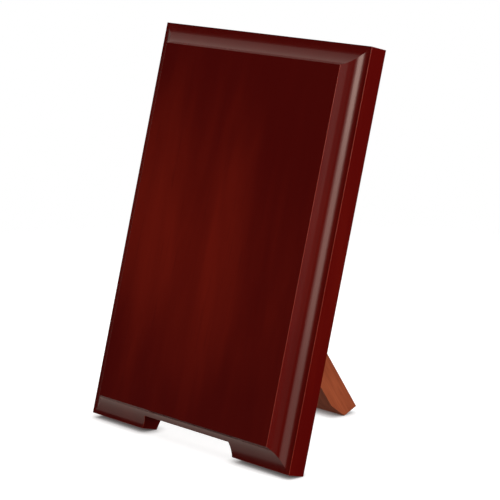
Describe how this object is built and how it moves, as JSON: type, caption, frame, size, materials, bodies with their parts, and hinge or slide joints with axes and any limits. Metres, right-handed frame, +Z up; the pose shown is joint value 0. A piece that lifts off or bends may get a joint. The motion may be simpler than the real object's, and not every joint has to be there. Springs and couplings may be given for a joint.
{
  "type": "standing award plaque",
  "caption": "Flat lacquered wooden board with a cove moulding round its face, a notched foot edge and a folding easel leg hinged to its back.",
  "frame": {"origin": "on the surface it stands on, under the middle of the whole object's box", "axes": "+Z up, front of the board faces -Y, +X to the right seen from the front"},
  "size_m": [0.127, 0.0956, 0.1742],
  "materials": {
    "lacquered_wood": "satin-gloss red mahogany lacquer",
    "bare_wood": "stained, unlacquered",
    "hinge_brass": "satin",
    "screw_brass": "polished"
  },
  "bodies": {
    "board": {"plaque_board": "lacquered_wood", "board_hinge_leaf": "hinge_brass", "hinge_pin": "hinge_brass", "board_hinge_screws": "screw_brass"},
    "leg": {"easel_leg": "bare_wood", "leg_hinge_leaf": "hinge_brass", "leg_hinge_screws": "screw_brass"}
  },
  "joints": [
    {"name": "leg_hinge", "type": "hinge", "parent": "board", "child": "leg", "pos_m": [0, -0.01528, 0.07566], "axis": [1, 0, 0], "range_deg": [-49, 0]}
  ]
}
